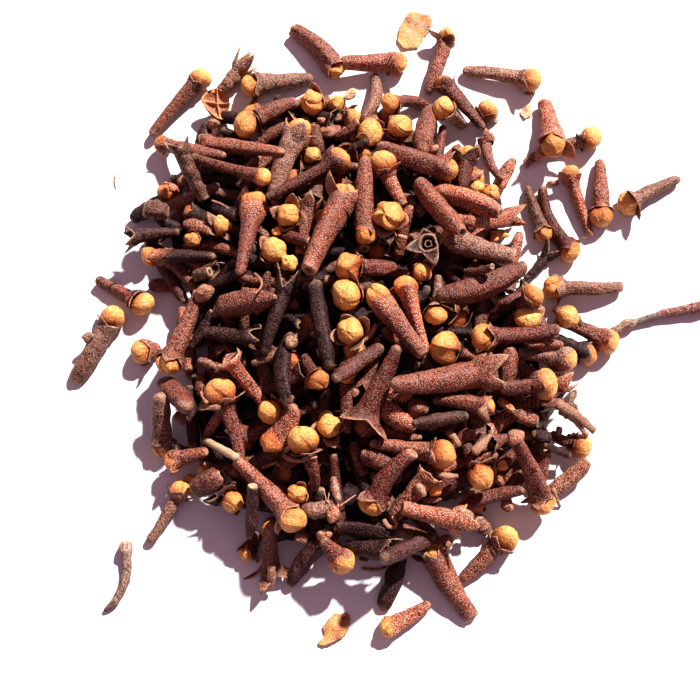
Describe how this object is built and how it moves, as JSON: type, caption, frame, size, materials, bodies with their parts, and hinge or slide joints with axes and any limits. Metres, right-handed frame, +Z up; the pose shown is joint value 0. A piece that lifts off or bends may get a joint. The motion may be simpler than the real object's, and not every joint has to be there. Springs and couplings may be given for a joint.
{
  "type": "heap of whole cloves",
  "caption": "Loose heap of whole dried clove buds, with single cloves, bare stalks and husk flakes lying round its edge.",
  "frame": {"origin": "middle of the heap's flat underside, on the surface it lies on", "axes": "+Z up out of the heap, +X to the right and +Y to the back of the heap as it is looked at"},
  "size_m": [0.1343, 0.1297, 0.0209],
  "materials": {
    "clove": "dried russet to black-brown, finely pimpled and wrinkled, matt",
    "bud": "dry papery orange-tan petals folded into a ball, faintly veined, soft sheen",
    "stalk": "dry grey-brown bark with knuckles",
    "husk": "thin pale straw husk, translucent at the edge"
  },
  "bodies": {
    "root": {"clove_back": "clove", "clove_back_left": "clove", "clove_back_right": "clove", "clove_far_right": "clove", "clove_front_left": "clove", "clove_front_right": "clove", "clove_heap": "clove", "clove_left_lower": "clove", "clove_left_upper": "clove", "clove_right_dark": "clove", "clove_right_edge": "clove", "clove_right_grey": "clove", "clove_right_leaning": "clove", "clove_right_short": "clove", "clove_right_slim": "clove", "clove_right_under": "clove", "clove_right_upright": "clove", "flake_back": "husk", "flake_front": "husk", "scrap_back": "husk", "scrap_right": "husk", "shaft_front": "clove", "shaft_left": "clove", "stalk": "stalk", "twig": "stalk"}
  },
  "joints": []
}
